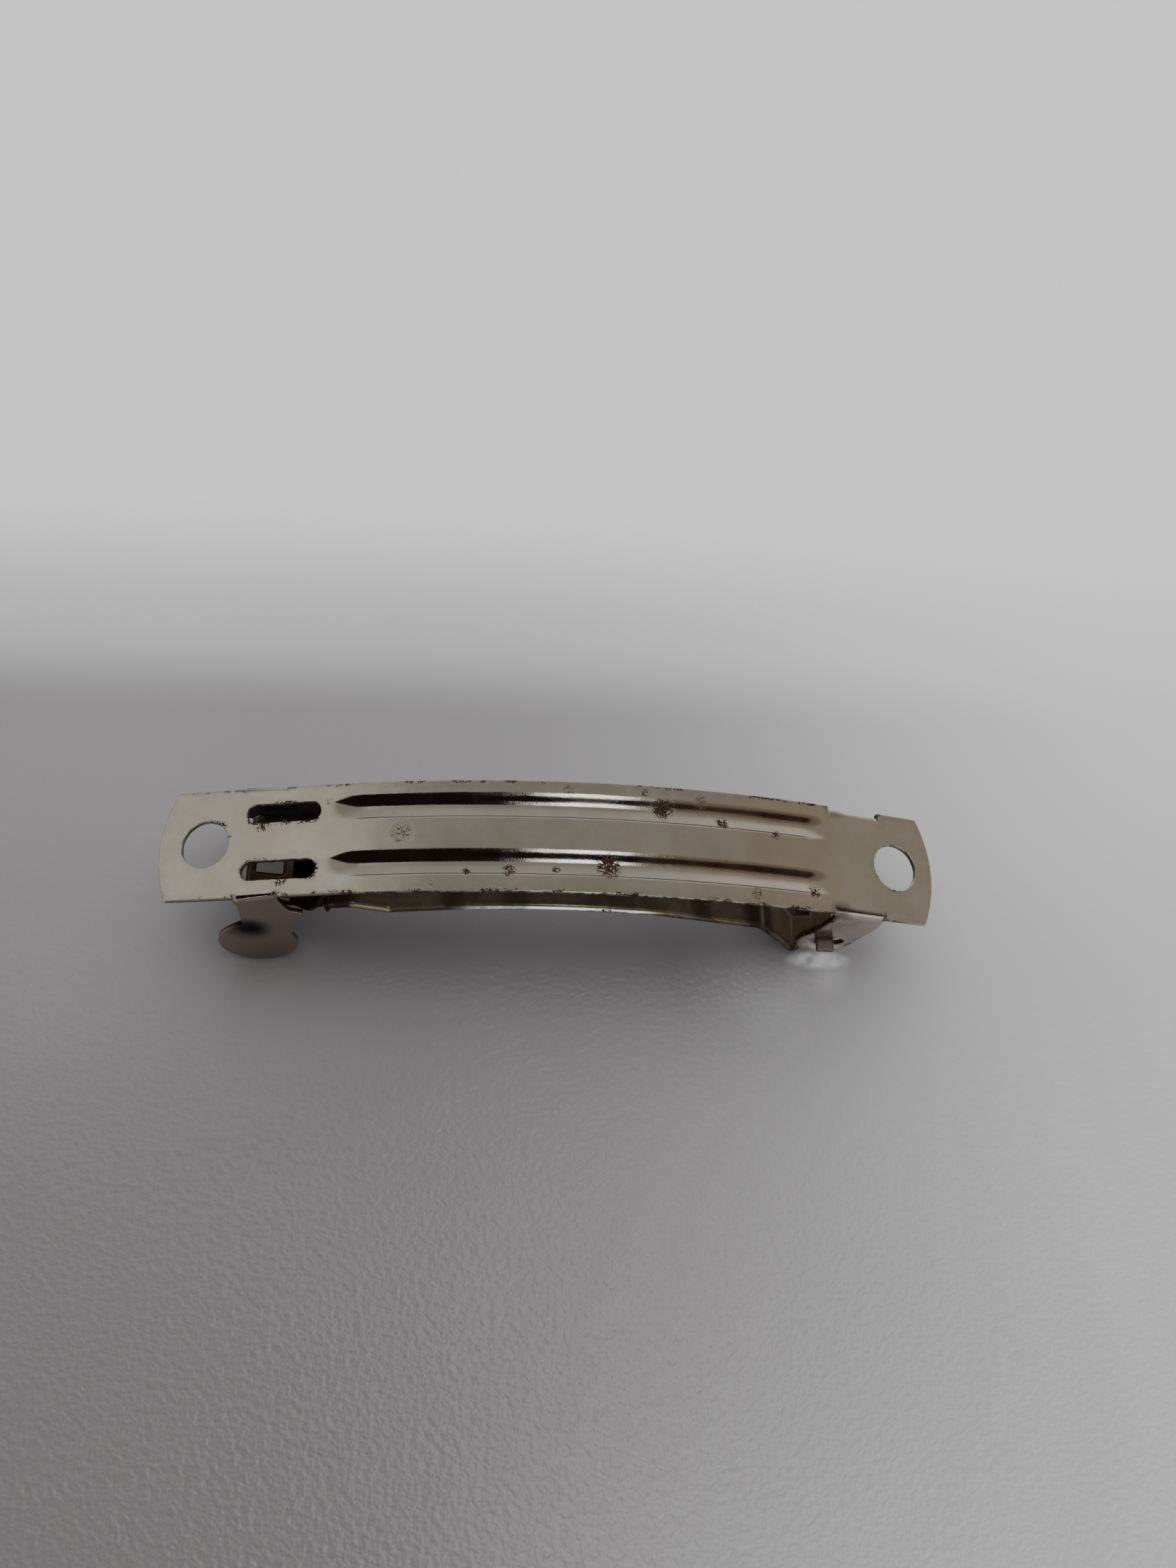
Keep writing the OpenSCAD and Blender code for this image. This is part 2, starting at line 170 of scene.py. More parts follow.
def smooth(x, a, b):
    """A soft step from 0 at a to 1 at b."""
    u = np.clip((x - a) / (b - a), 0, 1)
    return u * u * (3 - 2 * u)


# sheets made from their flat outlines

LOOP_STEP = 0.22
# how far in each ring of points along an edge lies, as a share of the edge's radius
RINGS = [0.0, 0.12, 0.29, 0.55, 1.0, 1.6]
RING_CLEAR = 0.04
SHEARED_SLOPE, UNDER_EDGE = 0.9, 0.6


def wandering(loops, rough):
    """The loops in short steps, each wandering in and out by its own roughness."""
    result = []
    for k, loop in enumerate(loops):
        loop = dense(loop, LOOP_STEP)
        wander = np.array([
            noise.noise(Vector((x * 2.3, y * 2.3, 7.1 * k))) + 0.6 * noise.noise(Vector((x * 9, y * 9, k)))
            for x, y in loop])
        p = np.array(loop)
        moved = inset(loop, 1.0, k > 0) - p
        moved /= np.linalg.norm(moved, axis=1)[:, None]
        result.append([tuple(q) for q in p + moved * (wander * rough[k])[:, None]])
    return result


def filled(loops, grid_s, grid_v, edge_r):
    """The points and triangles of a flat sheet, with rings of points along its edges."""
    verts, edges = [], []
    for k, loop in enumerate(loops):
        for share in RINGS:
            ring = inset(loop, share * edge_r, k > 0) if share else np.array(loop)
            start = len(verts)
            verts += [Vector(q) for q in ring]
            edges += [(start + i, start + (i + 1) % len(ring)) for i in range(len(ring))]
    grid = np.array([(s, v) for s in grid_s for v in grid_v])
    low, high = np.array(loops[0]).min(0), np.array(loops[0]).max(0)
    grid = grid[np.all((grid > low) & (grid < high), 1)]
    grid = grid[inside(grid, loops)]
    grid = grid[rim_distance(grid, loops) > RINGS[-1] * edge_r + RING_CLEAR]
    verts += [Vector(q) for q in grid]
    flat, _, faces, _, _, _ = delaunay_2d_cdt(verts, edges, [], 0, 1e-6)
    flat = np.array([(q.x, q.y) for q in flat])
    faces = np.array([f for f in faces if len(f) == 3])
    return flat, faces[inside(flat[faces].mean(1), loops)]


def closed(faces, count):
    """Polygons of both sides of a sheet and of its edges; the lower points follow count upper ones."""
    sides = {}
    for f in faces:
        for a, b in ((f[0], f[1]), (f[1], f[2]), (f[2], f[0])):
            key = (min(a, b), max(a, b))
            sides[key] = (a, b) if key not in sides else None
    polygons = [tuple(int(i) for i in f) for f in faces]
    polygons += [tuple(int(i) + count for i in f[::-1]) for f in faces]
    polygons += [(int(b), int(a), int(a) + count, int(b) + count) for a, b in filter(None, sides.values())]
    return polygons


def mesh_object(name, points, polygons, marks):
    """A smooth object of these points, which also carry the numbers in marks for the material."""
    mesh = bpy.data.meshes.new(name)
    mesh.from_pydata((points * MM).tolist(), [], polygons)
    for key, values in marks.items():
        mesh.attributes.new(key, "FLOAT", "POINT").data.foreach_set("value", values.astype(np.float32))
    bm = bmesh.new()
    bm.from_mesh(mesh)
    loose = [v for v in bm.verts if not v.link_faces]
    bmesh.ops.delete(bm, geom=loose, context="VERTS")
    bmesh.ops.recalc_face_normals(bm, faces=bm.faces)
    bm.to_mesh(mesh)
    bm.free()
    mesh.shade_smooth()
    made = bpy.data.objects.new(name, mesh)
    bpy.context.scene.collection.objects.link(made)
    return made


def sheet(name, loops, grid_s, grid_v, thickness, place, edge_r, marks_of, rough, sheared=None):
    """A bent sheet, from its flat outline and holes. Its edges are round, or sloped where sheared."""
    loops = wandering(loops, rough)
    flat, faces = filled(loops, grid_s, grid_v, edge_r)
    s, v = flat[:, 0], flat[:, 1]
    rim = rim_distance(flat, loops)
    if sheared:
        drop = np.maximum(edge_r * sheared(s) - rim, 0) * SHEARED_SLOPE
    else:
        height = np.sqrt(np.maximum(edge_r ** 2 - (edge_r - rim) ** 2, 0))
        drop = np.where(rim < edge_r, edge_r - height, 0)
    points = np.concatenate([place(s, v, -drop), place(s, v, -thickness + drop * UNDER_EDGE)])
    marks = {"rim": np.tile(rim, 2), "under": np.repeat([0.0, 1.0], len(flat)),
             "along": np.tile(s, 2), "across": np.tile(v, 2)}
    marks.update({key: np.tile(values, 2) for key, values in marks_of(s, v).items()})
    return mesh_object(name, points, closed(faces, len(flat)), marks)


def to_row(x, y, z):
    """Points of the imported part, from places measured from the top of the bow."""
    return np.stack([x - X_MID, y, z + BOW_TOP_Z], 1)


# the base plate

NEAR_CREASES = [side * GROOVE_Y + GROOVE_SHIFT - GROOVE_W / 2 for side in (1, -1)]
GROOVE_START, GROOVE_END = -22.5, 28.3
# outer radius of the folds; the sheet below a tighter fold starts higher by the lift
FOLD_RO, TAB_FOLD_R, EAR_FOLD_R = FOLD_R + SHEET_T, 0.53, 0.75
TAB_LIFT = (FOLD_RO - TAB_FOLD_R) * (1 - math.sin(TAB_SPLAY)) / math.cos(TAB_SPLAY)
EAR_LIFT = (FOLD_RO - EAR_FOLD_R) * (1 - math.sin(EAR_SPLAY)) / math.cos(EAR_SPLAY)
# the cut beside a fold, and how far past it the fold still bends
SLIT, FOLD_PAST, EDGE_PAST = 0.03, 0.012, 0.04
DIMPLE_FROM_MIDDLE = 0.35
PLATE_EDGE_R = 0.07
UNEVEN, RAGGED = 0.03, 0.004


def groove_depth(s, v):
    """Depth of the pressed grooves: a crease and a rising near wall, a soft far wall, pointed ends."""
    total = np.zeros_like(s)
    # from the pointed start on, the bottom moves nearer the crease and the shoulder away from it
    opened = smooth(s, GROOVE_START, GROOVE_START + 2.4)
    bottom = 1.75 - 0.5 * opened
    shoulder = 1.95 + 0.67 * opened
    ends = smooth(s, GROOVE_START - 0.2, GROOVE_START + 3.4)
    ends = ends * (1 - smooth(s, GROOVE_END - 3.0, GROOVE_END + 0.3))
    for crease in NEAR_CREASES:
        q = v - crease
        near = 1 - (1 - np.clip(q / bottom, 0, 1)) ** 1.6
        far = 1 - smooth((q - bottom) / (shoulder - bottom), 0, 1)
        total = np.maximum(total, GROOVE_DEPTH * near * far * ends)
    return total


def on_bow(s, v, w):
    """Places plate coordinates: s along the bow from its top, v across, w out of the top."""
    angle = np.clip(s / BOW_R, -LEFT_SLOPE, RIGHT_SLOPE)
    rest = s - angle * BOW_R
    x = BOW_R * np.sin(angle) + rest * np.cos(angle) + w * np.sin(angle)
    z = BOW_R * (np.cos(angle) - 1) - rest * np.sin(angle) + w * np.cos(angle)
    return to_row(x, v, z)


def folded(s, v, w, centre, half, out, splay, twist, outer_r, dish=None):
    """Bends what lies beyond a fold line down; returns where it applies and plate coordinates."""
    start = out - outer_r
    beyond = np.abs(v) - start
    flag = (beyond > 1e-6) & (np.abs(s - centre) < half)
    bend = math.pi / 2 - splay
    length = (outer_r - SHEET_T / 2) * bend
    phi = np.clip(beyond / length, 0, 1) * bend
    down = np.maximum(beyond - length, 0)
    x = s - centre
    if dish is not None:
        w = w + dish(x, beyond - length)
    y = (outer_r + w) * np.sin(phi) + down * np.cos(phi)
    z = -outer_r + (outer_r + w) * np.cos(phi) - down * np.sin(phi)
    # turned about the middle of the fold line, outwards towards the latch
    turn = twist * smooth(beyond, 0, length)
    x2 = x * np.cos(turn) + y * np.sin(turn)
    y2 = y * np.cos(turn) - x * np.sin(turn)
    return flag, x2 + centre, np.sign(v) * (start + y2), z


def dimple(x, y):
    """The dished place in each paddle, pressed inwards, with a soft rim."""
    y = y - TAB_LIFT
    r = np.hypot(x - (-PADDLE_SHIFT + DIMPLE_FROM_MIDDLE), y - DIMPLE_DOWN)
    cup = -0.5 * DIMPLE_DEPTH * (1 - smooth(r, 0.0, 2.3))
    curl = -0.05 * smooth(np.hypot(x + PADDLE_SHIFT, y - PADDLE_DOWN), 2.4, 3.95)
    return cup * smooth(y, 2.6, 4.2) + curl * smooth(y, 4.5, 7)


def noise_over(s, v, along, across, seed):
    return np.array([noise.noise(Vector((a * along, b * across, seed))) for a, b in zip(s, v)])


def place_plate(s, v, w):
    ear_on, *ear = folded(s, v, w, EAR_S, half=6.0, out=EAR_OUT, splay=EAR_SPLAY, twist=0.0,
                          outer_r=EAR_FOLD_R)
    tab_on, *tab = folded(s, v, w, TAB_S, half=9.0, out=TAB_OUT, splay=TAB_SPLAY, twist=TAB_TWIST,
                          outer_r=TAB_FOLD_R, dish=dimple)
    past_edge = np.abs(v) > PLATE_W / 2 + EDGE_PAST
    ear_on &= (np.abs(s - EAR_S) < EAR_W / 2 + FOLD_PAST) | past_edge
    tab_on &= (np.abs(s - TAB_S) < TAB_W / 2 + FOLD_PAST) | past_edge
    relief = UNEVEN * noise_over(s, v, 0.3, 0.45, 3.3) + RAGGED * noise_over(s, v, 0.9, 1.6, 9.1)
    w = w + relief * (np.abs(v) < PLATE_W / 2)
    s2, v2, w2 = s.copy(), v.copy(), w - groove_depth(s, v)
    for flag, (fs, fv, fw) in ((ear_on, ear), (tab_on, tab)):
        s2[flag], v2[flag], w2[flag] = fs[flag], fv[flag], fw[flag]
    return on_bow(s2, v2, w2)


def tab_outline():
    """The tab below its fold, from its latch side round the paddle to its hinge side."""
    neck = eased([(-2.25, 0), (-2.1, 0.4), (-2.65, 2.3), (-3.3, 4.5)], 0.5)
    paddle = arc(-PADDLE_SHIFT, PADDLE_DOWN, PADDLE_R, -91.5, -348.3)
    return neck + paddle + eased(
        [(0.63, 7.63), (1.45, 6.5), (2.25, 5.4), (3.1, 4.1), (3.4, 3.6), (2.25, 2.75), (2.1, 1.9),
         (2.08, 0.4), (2.25, 0)], 0.4)


def ear_outline():
    """The ear below its fold, from its latch side round its foot to its hinge side."""
    neck = eased([(-2.9, 0), (-2.85, 0.15), (-2.2, 0.6), (-1.8, 2.0), (-1.8, 5.0), (-2.33, 6.9)], 0.8)
    foot = arc(PIVOT_SHIFT + 0.15, PIVOT_DOWN + 0.1, EAR_R, 191, 0)[1:]
    return neck + foot + eased([(3.82, 7.4), (3.8, 2.4), (3.25, 0.35), (2.9, 0.06)], 0.5)


def fold_reach(out, splay, outer_r):
    """Where a fold ends in the flat."""
    return out - outer_r + (outer_r - SHEET_T / 2) * (math.pi / 2 - splay)


TAB_REACH = fold_reach(TAB_OUT, TAB_SPLAY, TAB_FOLD_R)
EAR_REACH = fold_reach(EAR_OUT, EAR_SPLAY, EAR_FOLD_R)


def side_run(sign):
    """One long side of the flat blank, latch to hinge, with its tab and ear."""
    edge = PLATE_W / 2
    run = [(TIP_LEFT + END_SAG, edge)]
    for centre, half, start, reach, lift, shape in (
            (TAB_S, TAB_W / 2, TAB_OUT - TAB_FOLD_R, TAB_REACH, TAB_LIFT, tab_outline()),
            (EAR_S, EAR_W / 2, EAR_OUT - EAR_FOLD_R, EAR_REACH, EAR_LIFT, ear_outline())):
        run += [(centre - half - SLIT, edge), (centre - half - SLIT, start), (centre - half, start)]
        run += [(centre + x, reach + y + lift * min(1, y / 2)) for x, y in shape]
        run += [(centre + half, start), (centre + half + SLIT, start), (centre + half + SLIT, edge)]
    run.append((TIP_RIGHT - END_SAG, edge))
    return [(s, sign * v) for s, v in run]


def plate_loops():
    half = math.degrees(math.asin(PLATE_W / 2 / END_R))
    outer = side_run(-1)
    outer += arc(TIP_RIGHT - END_R, 0, END_R, -half, half)[1:-1]
    outer += side_run(1)[::-1]
    outer += arc(TIP_LEFT + END_R, 0, END_R, 180 - half, 180 + half)[1:-1]
    loops = [outer]
    loops += [circle(s, 0, HOLE_R) for s in (TIP_LEFT + HOLE_IN_LEFT, TIP_RIGHT - HOLE_IN_RIGHT)]
    slot_0 = TIP_LEFT + SLOT_IN + SLOT_W / 2
    slot_1 = TIP_LEFT + SLOT_IN + SLOT_LEN - SLOT_W / 2
    loops += [stadium(slot_0, slot_1, side * SLOT_Y, SLOT_W / 2) for side in (1, -1)]
    peg_s, peg_v = EAR_S + PIVOT_SHIFT, EAR_REACH + EAR_LIFT + PIVOT_DOWN
    loops += [stadium(peg_s, peg_s + EAR_HOLE_SLACK, side * peg_v, EAR_HOLE_R, 0.1) for side in (1, -1)]
    return loops


def plate_lines():
    """The grid's lines: fine across the grooves and the folds."""
    lines = set(np.round(np.arange(-5.55, 5.6, 0.3), 3))
    for crease in NEAR_CREASES:
        lines = {x for x in lines if not crease - 0.3 < x < crease + 2.8}
        lines |= set(np.round(crease + np.array([-0.2, -0.1, -0.04, 0, 0.05]), 3))
        lines |= set(np.round(crease + np.arange(0.14, 2.8, 0.11), 3))
    for side in (1, -1):
        lines = {x for x in lines if not 4.6 < side * x < 6.0}
        lines |= set(np.round(side * np.arange(4.62, 6.1, 0.08), 3))
        lines |= set(np.round(side * np.arange(6.2, 19, 0.24), 3))
    return sorted(float(x) for x in lines)


def spot(s, v, middle_s, middle_v, dark, clear):
    """1 within dark of a place, 0 beyond clear."""
    return 1 - smooth(np.hypot(s - middle_s, v - middle_v), dark, clear)


def plate_marks(s, v):
    """Where dirt sits along the grooves' creases, the tarnished tabs and ears, their stains, and painted
    shade on the far folds.
    """
    crease = np.zeros_like(s)
    for place in NEAR_CREASES:
        on = 1 - smooth(np.abs(v - place + 0.02), 0.05, 0.13)
        crease = np.maximum(crease, on * smooth(s, -21.5, -19) * (1 - smooth(s, 25, 27)))
    # the dimples are dark
    dish_s, dish_v = TAB_S - PADDLE_SHIFT + DIMPLE_FROM_MIDDLE, TAB_REACH + TAB_LIFT + DIMPLE_DOWN
    stain = spot(s, np.abs(v), dish_s, dish_v, 0.7, 2.9)
    # the ear's fold is brown with rust on the side of the heel
    stain = np.maximum(stain, 0.6 * spot(s, np.abs(v), EAR_S - 2.1, 5.9, 0.5, 1.8))
    # the far folds are painted darker: painted shade that dims the highlight along them
    folds = (np.abs(s - TAB_S) < 3.2) | (np.abs(s - EAR_S) < 3.2)
    stain = np.maximum(stain, 0.6 * folds * smooth(v, 5.35, 5.6) * (1 - smooth(v, 6.6, 7.4)))
    # the tabs are browner; this starts on their folds, which paints a dark band on the bends
    tab = smooth(np.abs(v), 5.45, 5.9) * (s < 0) * (np.abs(s - TAB_S) < 9)
    ear = smooth(np.abs(v), 5.7, 6.5) * (s > 0)
    return {"crease": crease * (np.abs(v) < 5), "stain": stain, "tab": tab, "ear": ear}


# one roughness each for the outline, the two round holes, the two slots and the ears' holes
PLATE_ROUGH = [0.014, 0.02, 0.02, 0.045, 0.045, 0.03, 0.03]

plate = sheet("base_plate_sheet", plate_loops(), np.arange(TIP_LEFT, TIP_RIGHT, 0.42), plate_lines(),
              SHEET_T, place_plate, PLATE_EDGE_R, plate_marks, PLATE_ROUGH)


# bent strips

class Path:
    """A side profile of straights and bends, followed by its length from the start."""

    def __init__(self, x, z, heading, rows):
        self.pieces = []
        at = 0.0
        for straight, radius, turn in rows:
            for length, curve in ((straight, 0.0), (abs(turn) * DEG * radius, turn)):
                if length <= 0:
                    continue
                self.pieces.append((at, length, x, z, heading, curve))
                if curve:
                    chord = 2 * radius * math.sin(abs(curve) * DEG / 2)
                    mid = (heading + curve / 2) * DEG
                    x, z = x + chord * math.cos(mid), z + chord * math.sin(mid)
                    heading += curve
                else:
                    h = heading * DEG
                    x, z = x + length * math.cos(h), z + length * math.sin(h)
                at += length
        self.length, self.end_heading = at, heading

    def at(self, a):
        """x, z and heading in radians at each length a."""
        x, z, h = np.zeros_like(a), np.zeros_like(a), np.zeros_like(a)
        past = a - np.clip(a, 0, self.length)
        a = np.clip(a, 0, self.length)
        for start, length, x0, z0, heading, curve in self.pieces:
            on = (a >= start - 1e-9) & (a <= start + length + 1e-9)
            u = np.clip(a[on] - start, 0, length)
            h0 = heading * DEG
            if curve:
                turn = curve * DEG * u / length
                radius = length / abs(curve * DEG)
                chord = 2 * radius * np.sin(np.abs(turn) / 2)
                x[on], z[on] = x0 + chord * np.cos(h0 + turn / 2), z0 + chord * np.sin(h0 + turn / 2)
                h[on] = h0 + turn
            else:
                x[on], z[on], h[on] = x0 + u * math.cos(h0), z0 + u * math.sin(h0), h0
        return x + past * np.cos(h), z + past * np.sin(h), h


def bend_lines(path, step, fine):
    """Lengths along a path: step apart on straights, fine apart round tight bends."""
    lines = []
    for start, length, *_, curve in path.pieces:
        tight = curve and length / abs(curve * DEG) < 5
        count = max(1, math.ceil(length / (fine if tight else step)))
        lines += [start + length * i / count for i in range(count)]
    return lines


# the clasp arm, which starts a little before its pegs

PEG_IN = 0.9
PAD_R, HEEL_R, HEEL_CLEAR = 0.5, 0.45, 0.02
HEEL_DEPTH = BOW_TOP_Z + PIVOT_Z - HEEL_CLEAR
ARM_DROP = (HEEL_DEPTH - (PAD_R + HEEL_R) * (1 - math.cos(80 * DEG)) - ARM_T / 2) / math.sin(80 * DEG)

# columns: straight length, bend radius, bend angle
ARM_HINGE = [[1.75, PAD_R, 80], [ARM_DROP, HEEL_R, -30]]
ARM_BACK = [[0, HEEL_R, -108.4], [8.1, 1.4, 41.9], [10.55, 8, 9.9], [2.65, 60, 19.2],
            [3.0, 1.0, -32.5], [2.95, 2.0, 30.4], [1.2, 0, 0]]
ARM_HEAD = [[0, 0.8, 60], [3.25, 0.8, -82], [7.1, 0, 0]]
# dark patches across the arm. columns: x of the middle, half width, strength
ARM_PATCHES = [[20.8, 1.9, 0.75], [14.4, 1.1, 0.6], [6.0, 1.6, 0.3], [-4.5, 1.4, 0.35], [-10.5, 1.0, 0.4]]
PATCH_LEAN = 0.15
ARM_EDGE_R = 0.35

arm_path = Path(PIVOT_X + PEG_IN, PIVOT_Z, 180, ARM_HINGE + ARM_BACK + ARM_HEAD)
hinge_length = Path(0, 0, 0, ARM_HINGE).length
back_length = hinge_length + Path(0, 0, 0, ARM_BACK).length


def place_arm(a, v, w):
    x, z, h = arm_path.at(a)
    off = -ARM_T / 2 - w
    return to_row(x - off * np.sin(h), v, z + off * np.cos(h))


def arm_loops():
    lean = math.cos((180 - arm_path.end_heading) * DEG)
    end = arm_path.length

    def back(gap):
        """Length along the arm of a place that lies gap short of the head's tip in plan."""
        return end - (gap - 0.5) / lean

    half_w, half_h, half_n, half_l = ARM_W / 2, ARM_HINGE_W / 2, ARM_NECK_W / 2, ARM_HEAD_W / 2
    peg_0, peg_1, reach = PEG_IN - PEG_D / 2, PEG_IN + PEG_D / 2, PLATE_W / 2 + PEG_PROUD
    side = eased([(0, 0), (0, half_h), (peg_0, half_h)], 0.3)
    side += eased([(peg_0, half_h), (peg_0, reach), (peg_1, reach), (peg_1, half_h)], 0.12)
    side += eased([(peg_1, half_h), (hinge_length - 0.6, half_h), (hinge_length + 0.1, half_w),
                   (back_length + 1.9, half_w), (back_length + 2.5, half_n), (back(3.8), half_n),
                   (back(3.8), half_l), (back(1.2), half_l), (end, half_l - 0.5), (end, 0)], 0.25)
    outer = side + [(a, -v) for a, v in side[::-1]][1:-1]
    window = [(back(1.4), -1.1), (back(1.4), 1.1), (back(4.0), 1.1), (back(4.0), -1.1)]
    return [outer, eased(window + window[:1], 0.2)[:-1]]


def arm_marks(a, v):
    """The pegs are duller than the strip, its wave and head are painted dark as shade under the plate, and
    its back is patchy.
    """
    # painted shade: the head and the wave lie under the plate
    head = smooth(a, back_length - 0.2, back_length + 0.8)
    head = head * (1 - 0.35 * smooth(a, back_length + 2.6, back_length + 3.2))
    peg = smooth(np.abs(v), 5.1, 5.4) * (a < 3)
    wave = 0.65 * smooth(a, 56.0, 59.5)
    stain = np.maximum(np.maximum(head, wave), 0.55 * peg)
    x = arm_path.at(a)[0] - X_MID
    for middle, half, strength in ARM_PATCHES:
        off = np.abs(x + PATCH_LEAN * v - middle)
        stain = np.maximum(stain, strength * (1 - smooth(off, 0.5 * half, 1.3 * half)))
    return {"tab": peg, "stain": stain}


def arm_shear(a):
    """How far the arm's edges slope: less at the hinge."""
    return 0.3 + 0.7 * smooth(a, 6.0, 14.0)


arm = sheet("clasp_arm_sheet", arm_loops(), bend_lines(arm_path, 0.5, 0.09), np.arange(-5.6, 5.7, 0.35),
            ARM_T, place_arm, ARM_EDGE_R, arm_marks, [0.02, 0.02], arm_shear)


# the tension bar, walked from its top both ways; lengths to the left are counted as negative

BAR_R = BOW_R - SHEET_T - GROOVE_DEPTH - BAR_GAP - BAR_T / 2
BAR_HALF_ANGLE, BAR_EDGE_R = 12.6, 0.12
BAR_RIGHT = [[0, BAR_R, -12.9], [0, 0.9, -50], [1.95, 0.9, 64], [1.3, 0, 0]]
BAR_LEFT = [[0, BAR_R, BAR_HALF_ANGLE], [0, 1.2, 50], [2.2, 1.3, -66], [1.4, 0, 0]]

bar_right = Path(0, BAR_R - BOW_R, 0, BAR_RIGHT)
bar_left = Path(0, BAR_R - BOW_R, 180, BAR_LEFT)


def place_bar(a, v, w):
    x, z, h = bar_right.at(np.abs(a))
    xl, zl, hl = bar_left.at(np.abs(a))
    left = a < 0
    x, z, h = np.where(left, xl, x), np.where(left, zl, z), np.where(left, hl - math.pi, h)
    off = BAR_T / 2 + w
    return to_row(x - off * np.sin(h), v, z + off * np.cos(h))


def bar_loops():
    mid = BAR_R * BAR_HALF_ANGLE * DEG - 0.6
    right, left = bar_right.length, -bar_left.length
    half_w, half_e, half_p = BAR_W / 2, BAR_END_W / 2, BAR_PAD_W / 2
    top = eased([(left, 0), (left, half_e - 0.2), (left + 0.7, half_e + 0.1), (left + 1.9, half_p),
                 (left + 3.6, half_p - 0.1), (left + 4.6, half_e), (-mid - 0.3, half_e), (-mid, half_w),
                 (mid, half_w), (mid + 0.3, half_e), (right, half_e), (right, 0)], 0.3)
    return [top + [(a, -v) for a, v in top[::-1]][1:-1]]


def bar_marks(a, v):
    """The bar's latch end is painted dark below the slots: painted shade under the plate."""
    return {"stain": smooth(-a, 20.0, 22.0)}


bar_lines = [-a for a in bend_lines(bar_left, 0.5, 0.12)][::-1] + bend_lines(bar_right, 0.5, 0.12)[1:]
bar = sheet("tension_bar_sheet", bar_loops(), bar_lines, np.arange(-6, 6.1, 0.4),
            BAR_T, place_bar, BAR_EDGE_R, bar_marks, [0.02])


# nodes of the materials and of the world

class Net:
    """Adds nodes to one node tree: node returns the new node, the methods after it the result's socket."""

    def __init__(self, tree):
        self.tree = tree

    def feed(self, socket, value):
        if isinstance(value, bpy.types.NodeSocket):
            self.tree.links.new(value, socket)
        else:
            socket.default_value = value

    def node(self, kind, inputs=None, **settings):
        made = self.tree.nodes.new(kind)
        for key, value in settings.items():
            setattr(made, key, value)
        for key, value in (inputs or {}).items():
            self.feed(made.inputs[key], value)
        return made

    def maths(self, operation, a, b=0.0):
        return self.node("ShaderNodeMath", {0: a, 1: b}, operation=operation).outputs[0]

    def times(self, a, b):
        return self.maths("MULTIPLY", a, b)

    def plus(self, a, b):
        return self.maths("ADD", a, b)

    def minus(self, a, b):
        return self.maths("SUBTRACT", a, b)

    def most(self, a, b):
        return self.maths("MAXIMUM", a, b)

    def size(self, a):
        return self.maths("ABSOLUTE", a)

    def ramp(self, value, low, high, to_low=0.0, to_high=1.0):
        """A soft step from to_low, where value is low, to to_high, where it is high."""
        made = self.node("ShaderNodeMapRange", {"Value": value, "From Min": low, "From Max": high,
                                                "To Min": to_low, "To Max": to_high},
                         interpolation_type="SMOOTHSTEP")
        return made.outputs["Result"]

    def mix(self, factor, a, b):
        made = self.node("ShaderNodeMix", {"Factor": factor}, data_type="RGBA", blend_type="MIX")
        for index, value in ((6, a), (7, b)):
            plain = not isinstance(value, bpy.types.NodeSocket)
            self.feed(made.inputs[index], (*value, 1) if plain else value)
        return made.outputs[2]

    def noise(self, vector, scale, detail=2.0, roughness=0.5):
        inputs = {"Vector": vector, "Scale": scale, "Detail": detail, "Roughness": roughness}
        return self.node("ShaderNodeTexNoise", inputs).outputs["Fac"]

    def distance(self, point, middle):
        made = self.node("ShaderNodeVectorMath", {0: point, 1: middle}, operation="DISTANCE")
        return made.outputs["Value"]

    def mark(self, key):
        return self.node("ShaderNodeAttribute", attribute_name=key).outputs["Fac"]

    def bump(self, height, strength, distance):
        inputs = {"Height": height, "Strength": strength, "Distance": distance}
        return self.node("ShaderNodeBump", inputs).outputs["Normal"]


def fresh_material(name):
    """A new material, its node net and its shader's sockets."""
    made = bpy.data.materials.new(name)
    made.use_nodes = True
    return made, Net(made.node_tree), made.node_tree.nodes["Principled BSDF"].inputs


# worn nickel plate

# the two under tints are painted shade: the sheets are painted dark below, darkest inside the tabs
TAB_TINT, UNDER_SHADE_TINT, TAB_UNDER_SHADE_TINT = (0.42, 0.335, 0.28), (0.20, 0.16, 0.125), (0.05, 0.03, 0.024)
EAR_TINT, EAR_BROWN = (0.56, 0.50, 0.43), (0.20, 0.14, 0.095)
# painted highlight and painted shade for the edges of the arm and the bar
EDGE_PAINTED_HIGHLIGHT, EDGE_PAINTED_SHADE = (0.86, 0.84, 0.80), (0.10, 0.07, 0.045)
# dark brown of real stains, and of painted shade under the plate and on the far folds
STAIN_AND_SHADE_TINT = (0.022, 0.011, 0.009)
RUST_DARK, RUST_BROWN = (0.005, 0.003, 0.002), (0.055, 0.025, 0.014)

# what the sheets' points carry for the materials; a sheet without one of them reads 0
MARKS = ["rim", "under", "along", "across", "tab", "ear", "stain", "crease"]

# rust on the plate. columns: along s, across v, radius, strength
RUST = [
    [10.4, 3.4, 1.5, 1.0],
    [5.0, -2.95, 1.7, 1.0],
    [-4.6, -3.6, 0.95, 1.0],
    [-8.6, -3.7, 0.6, 0.9],
    [-0.05, -3.4, 0.6, 0.9],
    [16.5, 2.5, 0.95, 0.85],
    [22.1, 1.7, 0.8, 0.7],
    [26.0, -3.8, 1.0, 0.8],
    [-15.2, 0.3, 1.8, 0.38],
    [14.3, 4.6, 1.0, 0.45],
    [1.0, 4.9, 1.0, 0.38],
    [8.5, 5.0, 0.8, 0.5],
    [-22.6, 3.9, 0.5, 0.4],
    [-29.5, 1.8, 1.0, 0.7],
    [-33.6, 1.9, 0.7, 0.9],
    [-27.0, -4.1, 1.0, 0.6],
    [19.8, -4.7, 1.1, 0.42],
    [-12.0, -4.9, 0.6, 0.4],
    [30.9, -12.9, 1.5, 0.4],
]


